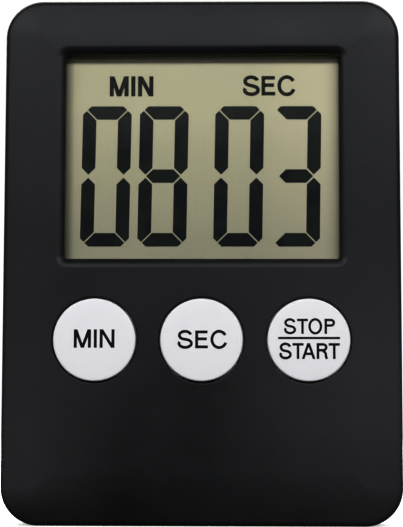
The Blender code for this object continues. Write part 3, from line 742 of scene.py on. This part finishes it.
def stand_recess():
    """Boolean steps for the recess the stand folds into, its hinge bores and two nail scoops."""
    steps = add(block("recess_backing", (-17.8, 17.8), (RECESS_INSIDE_Y, BACK_INSIDE_Y + EMBED), (1.0, 49.0)))

    def recess(outset):
        return rounded_loop((-STAND_X - STAND_GAP, STAND_X + STAND_GAP),
                            (STAND_FOOT_Z - STAND_GAP, STAND_AXIS_Z + 1.3), 0.8, outset, 8)

    steps += cut(pocket("stand_hollow", recess, BACK_Y, RECESS_FLOOR_Y, SMALL_EDGE, 1, steps=5))
    steps += cut(cross_rod("hinge_bores", (STAND_AXIS_Y, STAND_AXIS_Z), HINGE_BORE_RADIUS, (-16.9, 16.9)))
    for side in (-1, 1):
        at = (side * (STAND_X + 0.6), 7.5)

        def scoop(outset, at=at):
            return circle_loop(at, 3.4 + outset, 64)

        steps += cut(pocket(f"nail_scoop_{side}", scoop, BACK_Y, 4.8, 0.35, 1, steps=5))
    return steps


def battery_well():
    """Boolean steps for the cell's well, the boss round the door, its locking ledge and the contact slots."""
    centre = BATTERY_AT

    def boss(outset):
        return circle_loop(centre, BOSS_RADIUS + outset, 96)

    def seat(outset):
        return circle_loop(centre, 8.3 + outset, 96)

    steps = add(rod("well_wall", centre, 7.0, (-2.9, 2.9), 96))
    steps += add(post("door_boss", boss, 0.9, BACK_Y, 0.2))
    steps += cut(pocket("door_seat", seat, BACK_Y, BACK_INSIDE_Y, 0.15, 1, steps=4))
    steps += cut(rod("ledge_hole", centre, 7.1, (3.2, 5.2), 96))
    steps += cut(rod("undercut", centre, 8.1, (1.9, 3.3), 96))
    steps += cut(rod("well", centre, 6.15, (-2.1, 2.4), 96))
    for i in range(3):
        shape = sector(NOTCH_RADII, math.radians(90 + 120 * i - DOOR_TURN_DEGREES), NOTCH_ANGLE, centre)
        steps += cut(loft(f"notch_{i}", [(shape, 3.0), (shape, BACK_INSIDE_Y + EMBED)]))
    slot_z = (centre[1] - 1.9, centre[1] + 1.9)
    steps += cut(block("positive_slot", (5.6, 7.6), (-3.4, 1.6), slot_z))
    steps += cut(block("negative_slot", (-7.6, -5.6), (-2.3, -1.2), slot_z))
    return steps


def battery_door():
    """Coin-turned door: slot, a shallow ring groove, skirt and three locking tabs."""
    x, z = BATTERY_AT
    top = BACK_Y
    profile = [(SKIRT_RADIUS, SKIRT_Y[0]), (SKIRT_RADIUS, SKIRT_Y[1]), (DOOR_RADIUS, SKIRT_Y[1]),
               (DOOR_RADIUS, top - 0.25), (7.93, top - 0.09), (7.75, top),
               (7.0, top), (6.9, top - 0.12), (6.6, top - 0.12), (6.5, top)]
    door = turned("battery_door_visual", (x, z), profile, CASE)
    steps = cut(rod("skirt_hollow", (x, z), SKIRT_INSIDE_RADIUS, (1.0, SKIRT_Y[1]), 96))
    for i in range(3):
        shape = sector(TAB_RADII, math.radians(90 + 120 * i), TAB_ANGLE, (x, z))
        steps += add(loft(f"tab_{i}", [(shape, y) for y in TAB_Y]))

    def coin_slot(outset):
        return rounded_loop((x - 5.0, x + 5.0), (z - 0.7, z + 0.7), 0.68, outset, 8)

    steps += cut(pocket("coin_slot", coin_slot, top, top - 0.7, 0.15, 1, steps=4))
    replacement(combined(door, steps), "battery_door", "case_plastic", "battery_door")


def stand():
    """Fold-out leg with rounded edges, knuckle, pins and the window that clears the door's boss."""

    def leg_outline(outset):
        return rounded_loop((-STAND_X, STAND_X), (STAND_FOOT_Z, STAND_AXIS_Z - 0.2), 1.0, outset, 8)

    near, far = STAND_Y
    rings = [(leg_outline(-0.25), near), (leg_outline(-0.07), near + 0.07), (leg_outline(0.0), near + 0.25),
             (leg_outline(0.0), far - 0.3), (leg_outline(-0.09), far - 0.09), (leg_outline(-0.3), far)]
    leg = loft("stand_visual", rings, STAND)
    axis = (STAND_AXIS_Y, STAND_AXIS_Z)
    steps = add(cross_rod("knuckle", axis, KNUCKLE_RADIUS, (-STAND_X + 0.05, STAND_X - 0.05)))
    steps += add(cross_rod("pins", axis, HINGE_PIN_RADIUS, (-STAND_X - 1.5, STAND_X + 1.5)))

    def window(outset):
        return circle_loop(BATTERY_AT, BOSS_RADIUS + STAND_GAP + outset, 96)

    steps += cut(pocket("boss_window", window, far, near - THROUGH, SMALL_EDGE, 1, steps=4))
    replacement(combined(leg, steps), "stand", "case_plastic", "stand")


def magnet():
    """Ferrite bar with ground faces and slightly broken edges."""
    x, y, z = limits("magnet")

    def bar(outset):
        return rounded_loop(x, z, 0.5, outset, 6)

    piece = post("magnet_visual", bar, y[0], y[1], 0.2, SLOT_MATERIALS["ferrite"])
    replacement(piece, "case", "ferrite", "magnet")


def case_screws():
    """Pan-head screws, down in their counterbores, with a cross recess."""
    for i, (x, z) in enumerate(CASE_SCREWS, 1):
        node = f"case_screw_{i}"
        low, high = limits(node)[1]
        under_head = high - 1.0
        profile = [(0.02, low), (0.5, low + 0.3), (1.0, low + 1.0), (1.0, under_head), (1.85, under_head),
                   (1.85, high - 0.55), (1.72, high - 0.25), (1.35, high - 0.06), (0.9, high)]
        body = turned(node + "_visual", (x, z), profile, SLOT_MATERIALS["steel"], steps=48)
        recess_y = (high - 0.6, high + THROUGH)
        steps = cut(block("recess_x", (x - 1.05, x + 1.05), recess_y, (z - 0.19, z + 0.19)))
        steps += cut(block("recess_z", (x - 0.19, x + 0.19), recess_y, (z - 1.05, z + 1.05)))
        replacement(combined(body, steps), "case", "steel", node)


# ---------------------------------------------------------------- buttons and legends

FLANGE_RADIUS, FLANGE_Y = 7.4, (-3.1, -2.4)
CAP_HOLLOW_RADIUS, CAP_CEILING_Y, PLUNGER_RADIUS = 5.6, -4.6, 1.6


def button(label):
    """White cap with a soft edge, its flange, hollow back, plunger and upright key."""
    x, _, z = button_centre(label)
    face, back = limits(f"button_{label}")[1]
    front, rear = FLANGE_Y
    profile = [(PLUNGER_RADIUS, back), (PLUNGER_RADIUS, CAP_CEILING_Y), (CAP_HOLLOW_RADIUS, CAP_CEILING_Y),
               (CAP_HOLLOW_RADIUS, rear), (FLANGE_RADIUS, rear), (FLANGE_RADIUS, front),
               (BUTTON_RADIUS, front)]
    for spread, depth in reversed(list(arc_steps(BUTTON_EDGE, 8))):
        profile.append((BUTTON_RADIUS - spread, face + BUTTON_CROWN + depth))
    for share in (0.75, 0.5, 0.25):
        profile.append(((BUTTON_RADIUS - BUTTON_EDGE) * share, face + BUTTON_CROWN * share ** 2))
    cap = turned(f"button_{label}_visual", (x, z), profile, WHITE, steps=128)
    key = block("key", (x - 1.0, x + 1.0), (front + 0.05, rear - 0.05), (z + 6.8, z + 8.3))
    replacement(combined(cap, add(key)), f"button_{label}", "button_plastic", f"button_{label}")


DOME_TOP_Y = -1.5
DOME_CEILING_Y = -0.9
DOME_SHOULDER_Y = -1.0
DOME_FOOT_Y = 0.1
SKIRT_WALL = 0.4


def keypad_dome(label):
    """A silicone dome: its crown and carbon pill go in with the button, and its skirt stays in place with the
    case.
    """
    x, _, z = button_centre(label)
    centre = (x, z)
    rubber_grey = SLOT_MATERIALS["keypad_silicone"]
    top_radius, foot_radius, overrun = 2.2, 3.3, 0.2
    crown = [(1.9, DOME_TOP_Y), (2.1, DOME_TOP_Y + 0.05), (top_radius, DOME_TOP_Y + 0.15),
             (top_radius, DOME_CEILING_Y)]
    top = turned(f"keypad_crown_{label}", centre, crown, rubber_grey, steps=48)
    replacement(top, f"button_{label}", "keypad_silicone", f"keypad_dome_{label}")
    upper, lower = circle_loop(centre, top_radius, 48), circle_loop(centre, foot_radius, 48)
    upper_inside = circle_loop(centre, top_radius - SKIRT_WALL, 48)
    lower_inside = circle_loop(centre, foot_radius - SKIRT_WALL, 48)
    skirt = loft(f"keypad_skirt_{label}", [(upper, DOME_SHOULDER_Y), (lower, DOME_FOOT_Y)], rubber_grey)
    hollow = loft("skirt_hollow", [(upper_inside, DOME_SHOULDER_Y - overrun), (upper_inside, DOME_CEILING_Y),
                                   (lower_inside, DOME_FOOT_Y), (lower_inside, DOME_FOOT_Y + overrun)])
    replacement(combined(skirt, cut(hollow)), "case", "keypad_silicone")
    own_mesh(skirt)
    low, high = limits(f"carbon_pill_{label}")[1]
    pill = turned(f"carbon_pill_{label}_visual", centre, [(1.5, low), (1.5, high - 0.05), (1.42, high)],
                  SLOT_MATERIALS["carbon_rubber"], steps=40)
    replacement(pill, f"button_{label}", "carbon_rubber", f"carbon_pill_{label}")


def ribbon(points, width):
    """A stroke's outline: a run of points thickened evenly to both sides, with square ends."""
    points = [Vector(p) for p in points]
    sharpest = 0.3
    left, right = [], []
    for i, point in enumerate(points):
        before = (point - points[i - 1]).normalized() if i else None
        after = (points[i + 1] - point).normalized() if i + 1 < len(points) else None
        along = ((before or after) + (after or before)).normalized()
        normal = Vector((-along.y, along.x))
        onward = after or before
        stretch = 1.0 / max(normal.dot(Vector((-onward.y, onward.x))), sharpest)
        left.append(point + normal * width / 2 * stretch)
        right.append(point - normal * width / 2 * stretch)
    return [tuple(p) for p in left] + [tuple(p) for p in reversed(right)]


def bar_or_ribbon(points, width):
    """A slanting bar gets level ends, and any other stroke square ones."""
    (x0, z0), (x1, z1) = points[0], points[-1]
    if len(points) > 2 or abs(x1 - x0) < 0.01 or abs(z1 - z0) < 0.01:
        return ribbon(points, width)
    half = width / 2 * math.hypot(x1 - x0, z1 - z0) / abs(z1 - z0)
    return [(x0 - half, z0), (x0 + half, z0), (x1 + half, z1), (x1 - half, z1)]


def arc(centre, radii, start, end, steps):
    """Points on an ellipse between two angles in degrees."""
    for i in range(steps + 1):
        turn = math.radians(start + (end - start) * i / steps)
        yield centre[0] + radii[0] * math.cos(turn), centre[1] + radii[1] * math.sin(turn)


def letter_strokes(letter, w):
    """Centre lines of a plain sans-serif capital one unit high, and its width, for a stroke width w."""
    h = w / 2
    top, bottom, mid = 1 - h, h, 0.5
    tall = mid + 0.04 - h  # round letters stand a little taller than straight ones
    if letter == "I":
        return w, [[(h, 0), (h, 1)]]
    if letter == "M":
        wide = 0.90 + 1.5 * (w - 0.165)
        return wide, [[(h, 0), (h, 1)], [(wide - h, 0), (wide - h, 1)],
                      [(h + 0.02, 1), (wide / 2, 0)], [(wide / 2, 0), (wide - 0.02 - h, 1)]]
    if letter == "N":
        return 0.78, [[(h, 0), (h, 1)], [(0.78 - h, 0), (0.78 - h, 1)], [(h + 0.01, 1), (0.77 - h, 0)]]
    if letter == "E":
        return 0.70, [[(h, 0), (h, 1)], [(h, top), (0.68, top)], [(h, 0.53), (0.64, 0.53)],
                      [(h, bottom), (0.70, bottom)]]
    if letter == "T":
        return 0.78, [[(0, top), (0.78, top)], [(0.39, 0), (0.39, 1)]]
    if letter == "A":
        return 0.90, [[(h * 0.8, 0), (0.45, 1.0)], [(0.45, 1.0), (0.90 - h * 0.8, 0)],
                      [(0.19, 0.32), (0.71, 0.32)]]
    if letter == "O":
        return 0.98, [list(arc((0.49, mid), (0.49 - h, tall), 0, 360, 48))]
    if letter == "C":
        return 0.90, [list(arc((0.48, mid), (0.48 - h, tall), 32, 337, 40))]
    if letter in "PR":
        bowl = [(h, top), (0.44, top), *arc((0.44, 0.735), (0.27 - h * 0.6, 0.265 - h), 88, -88, 18),
                (0.44, 0.47 + h), (h, 0.47 + h)]
        strokes = [[(h, 0), (h, 1)], bowl]
        if letter == "R":
            strokes.append([(0.42, 0.50), (0.55, 0.44), (0.62, 0.34), (0.645, 0.15), (0.70, 0.0)])
        return 0.76, strokes
    upper = list(arc((0.40, 0.733), (0.345 - h * 0.4, 0.302 - h), 8, 245, 26))
    lower = list(arc((0.41, 0.276), (0.375 - h * 0.4, 0.306 - h), 65, -205, 30))
    return 0.82, [upper + lower]


# Changes to the gap between two letters, as shares of the letters' height
KERNING = {"TA": -0.17, "AR": 0.05, "TO": -0.06, "OP": 0.09}
BUTTON_STROKE = 0.165
BUTTON_INK_THICKNESS, BUTTON_INK_PROUD = 0.02, 0.012


def legend(name, text, centre, size, y, body, material, gap, stroke=BUTTON_STROKE,
           thickness=BUTTON_INK_THICKNESS):
    """Printed capitals: each letter's strokes, joined and set to a given width and height.

    The stroke's width and the gap between letters are shares of the letters' height.
    """
    width, height = size
    slot = "reflector_film" if body == "case" else "button_plastic"
    widths = [letter_strokes(letter, stroke)[0] for letter in text]
    gaps = [gap + KERNING.get(pair, 0.0) for pair in map("".join, zip(text, text[1:]))]
    scale_x = width / (sum(widths) + sum(gaps))
    x = centre[0] - width / 2
    for i, (letter, advance) in enumerate(zip(text, map(sum, zip(widths, gaps + [0.0])))):
        solids = []
        for j, points in enumerate(letter_strokes(letter, stroke)[1]):
            placed = [(x + u * scale_x, centre[1] + (v - 0.5) * height) for u, v in points]
            shape = bar_or_ribbon(placed, stroke * height)
            solids.append(loft(f"{name}_{letter}{i}_{j}", [(shape, y), (shape, y + thickness)], material))
        glyph = solids[0]
        glyph.name = f"{name}_{letter}{i}"
        if len(solids) > 1:
            combined(glyph, add(*solids[1:]))
        replacement(glyph, body, slot)
        x += advance * scale_x


# Each word's button, the word, its middle from the button's axis, its size, and the gap between its letters
BUTTON_WORDS = (("min", "MIN", (0.0, 0.18), (6.6, 2.98), 0.14),
                ("sec", "SEC", (0.13, 0.06), (7.9, 2.88), 0.14),
                ("start_stop", "STOP", (0.13, 2.19), (8.2, 2.45), 0.09),
                ("start_stop", "START", (0.11, -1.79), (9.67, 2.55), 0.07))


def button_legends():
    """The words on the buttons, and the bar between STOP and START."""
    y = limits("button_min")[1][0] - BUTTON_INK_PROUD
    for label, word, (right, up), size, gap in BUTTON_WORDS:
        x, _, z = button_centre(label)
        legend(f"legend_{word.lower()}", word, (x + right, z + up), size, y, f"button_{label}", LEGEND, gap)
    x, _, z = button_centre("start_stop")
    bar = block("legend_bar", (x - 4.98, x + 4.98), (y, y + BUTTON_INK_THICKNESS), (z + 0.12, z + 0.49),
                LEGEND)
    replacement(bar, "button_start_stop", "button_plastic")


# ---------------------------------------------------------------- display

DISPLAY_INK_THICKNESS, DISPLAY_INK_PROUD = 0.015, 0.02
DISPLAY_STROKE_MIN, DISPLAY_STROKE_SEC = 0.205, 0.19
DIGIT_WIDTH = 8.07
DIGIT_HEIGHT = 23.4
DIGIT_FOOT_Z = 45.4
DIGIT_STROKE = 2.24
DIGIT_LEFT_X = (-19.95, -10.49, 2.01, 11.47)
DIGIT_SLANT = math.tan(math.radians(0.92))
# The sloping gap between segments, measured level, the cut across a digit's corner,
# and half the gap at its waist
MITRE = 0.14
CORNER_CUT = 1.38
TIP_GAP = 0.25
SEGMENTS_LIT = {"0": "abcdef", "8": "abcdefg", "3": "abcdg"}


def segment_outline(segment):
    """One bar of a seven-segment digit, from its lower left corner, with mitred ends."""
    w, h, t = DIGIT_WIDTH, DIGIT_HEIGHT, DIGIT_STROKE
    near = (CORNER_CUT + MITRE) / 2
    far = (CORNER_CUT - MITRE) / 2
    top = [(near, h - far), (CORNER_CUT, h), (w - CORNER_CUT, h), (w - near, h - far),
           (w - t - MITRE, h - t), (t + MITRE, h - t)]
    foot = h / 2 + TIP_GAP
    upper_left = [(far, h - near), (0, h - CORNER_CUT), (0, foot + t / 2), (t / 2, foot),
                  (t, foot + t / 2), (t, h - t - MITRE)]
    if segment == "g":
        tip = t / 2 + 0.1
        return [(tip, h / 2), (tip + t / 2, h / 2 + t / 2), (w - tip - t / 2, h / 2 + t / 2),
                (w - tip, h / 2), (w - tip - t / 2, h / 2 - t / 2), (tip + t / 2, h / 2 - t / 2)]
    shape = top if segment in "ad" else upper_left
    if segment in "bc":
        shape = [(w - u, v) for u, v in shape]
    if segment in "cde":
        shape = [(u, h - v) for u, v in shape]
    return shape


def display():
    """The lit segments of four digits, and the words printed above them."""
    y = limits("lcd_front_polariser")[1][0] - DISPLAY_INK_PROUD
    for place, (digit, left) in enumerate(zip("0803", DIGIT_LEFT_X), 1):
        for segment in SEGMENTS_LIT[digit]:
            shape = [(left + u + (v - DIGIT_HEIGHT / 2) * DIGIT_SLANT, DIGIT_FOOT_Z + v)
                     for u, v in segment_outline(segment)]
            bar = loft(f"digit_{place}_{segment}", [(shape, y), (shape, y + DISPLAY_INK_THICKNESS)], SEGMENT)
            replacement(bar, "case", "reflector_film")
    legend("display_min", "MIN", (-11.76, 72.18), (7.25, 3.4), y, "case", PRINT, 0.14,
           DISPLAY_STROKE_MIN, DISPLAY_INK_THICKNESS)
    legend("display_sec", "SEC", (11.1, 72.24), (8.6, 3.3), y, "case", PRINT, 0.1,
           DISPLAY_STROKE_SEC, DISPLAY_INK_THICKNESS)


# ---------------------------------------------------------------- stage

def area_light(name, at, towards, size, power):
    """A soft rectangular light at a place in metres, aimed at a point."""
    data = bpy.data.lights.new(name, "AREA")
    data.shape = "RECTANGLE"
    data.size, data.size_y = size
    data.energy = power
    lamp = bpy.data.objects.new(name, data)
    lamp.location = at
    lamp.rotation_euler = (Vector(towards) - Vector(at)).to_track_quat("-Z", "Y").to_euler()
    bpy.context.scene.collection.objects.link(lamp)


def pale_floor():
    """A wide pale floor that adds no light to the timer, with some light of its own further out."""
    n = Nodes("floor")
    shade = n.blend(n.spread(n.noise(30.0, 3.0, 0.5), 0.0, 1.0), (0.86, 0.86, 0.86), (0.84, 0.84, 0.84))
    reach = n.new("ShaderNodeVectorMath", operation="LENGTH")
    n.link(n.place, reach.inputs[0])
    glow = n.spread(reach.outputs["Value"], 0.45, 1.05, 0.06, 0.24)
    n.set(Base_Color=shade, Roughness=0.8, Emission_Color=(1.0, 1.0, 1.0), Emission_Strength=glow,
          Specular_IOR_Level=0.0)
    bm = bmesh.new()
    bmesh.ops.create_circle(bm, cap_ends=True, segments=96, radius=900.0)
    floor = finished("floor", bm, n.material)
    floor.location.z = -0.00001
    floor.visible_diffuse = False
    floor.visible_glossy = False


def surround():
    """White where the camera sees it, and faint light for everything else."""
    world = bpy.data.worlds.new("studio")
    bpy.context.scene.world = world
    world.use_nodes = True
    tree = world.node_tree
    faint = tree.nodes["Background"]
    faint.inputs["Color"].default_value = (0.95, 0.97, 1.0, 1.0)
    faint.inputs["Strength"].default_value = 0.1
    seen = tree.nodes.new("ShaderNodeBackground")
    seen.inputs["Color"].default_value = (1.0, 1.0, 1.0, 1.0)
    seen.inputs["Strength"].default_value = 1.05
    path = tree.nodes.new("ShaderNodeLightPath")
    mix = tree.nodes.new("ShaderNodeMixShader")
    tree.links.new(path.outputs["Is Camera Ray"], mix.inputs["Fac"])
    tree.links.new(faint.outputs["Background"], mix.inputs[1])
    tree.links.new(seen.outputs["Background"], mix.inputs[2])
    tree.links.new(mix.outputs["Shader"], tree.nodes["World Output"].inputs["Surface"])


def stage():
    """Pale floor, soft studio lights and a white surround."""
    pale_floor()
    centre = (0.0, 0.0, 0.06)
    area_light("strip_mid", (0.0, -0.55, 0.345), centre, (0.5, 0.08), 1.55)
    area_light("strip_left", (-0.36, -0.50, 0.345), centre, (0.35, 0.08), 1.75)
    area_light("strip_right", (0.36, -0.50, 0.345), centre, (0.35, 0.08), 1.95)
    area_light("front_strip", (0.04, -0.60, 0.20), centre, (0.6, 0.06), 0.20)
    area_light("edge_left", (-0.60, -0.22, 0.10), centre, (0.10, 0.30), 0.2)
    area_light("edge_right", (0.60, -0.22, 0.10), centre, (0.10, 0.30), 0.2)
    area_light("back_strip", (0.0, 0.55, 0.30), centre, (1.0, 0.12), 5.0)
    area_light("rim", (0.0, 0.45, 0.60), (0.0, 0.2, 0.0), (1.0, 0.4), 8.0)
    surround()
    bpy.context.scene.view_settings.view_transform = "Standard"
    bpy.context.scene.view_settings.gamma = 0.75


def camera():
    """A long lens a little below the middle of the timer, tilted up at it."""
    data = bpy.data.cameras.new("camera")
    data.sensor_width = 36.0
    data.lens = 107.7
    data.clip_start = 0.01
    eye = bpy.data.objects.new("camera", data)
    yaw, pitch, roll = math.radians(1.04), math.radians(5.445), math.radians(-0.11)
    aim = Matrix.Rotation(yaw, 4, "Z") @ Matrix.Rotation(pitch, 4, "X") @ Matrix.Rotation(roll, 4, "Y")
    place = Matrix.Translation(Vector((4.6, -260.0, 18.02)) * MM)
    eye.matrix_world = place @ aim @ Matrix.Rotation(QUARTER, 4, "X")
    bpy.context.scene.collection.objects.link(eye)
    bpy.context.scene.camera = eye


camera()
stage()
finish_cad_nodes()
front_shell()
rear_cover()
battery_door()
stand()
magnet()
case_screws()
for button_label in BUTTON_LABELS:
    button(button_label)
    keypad_dome(button_label)
button_legends()
display()
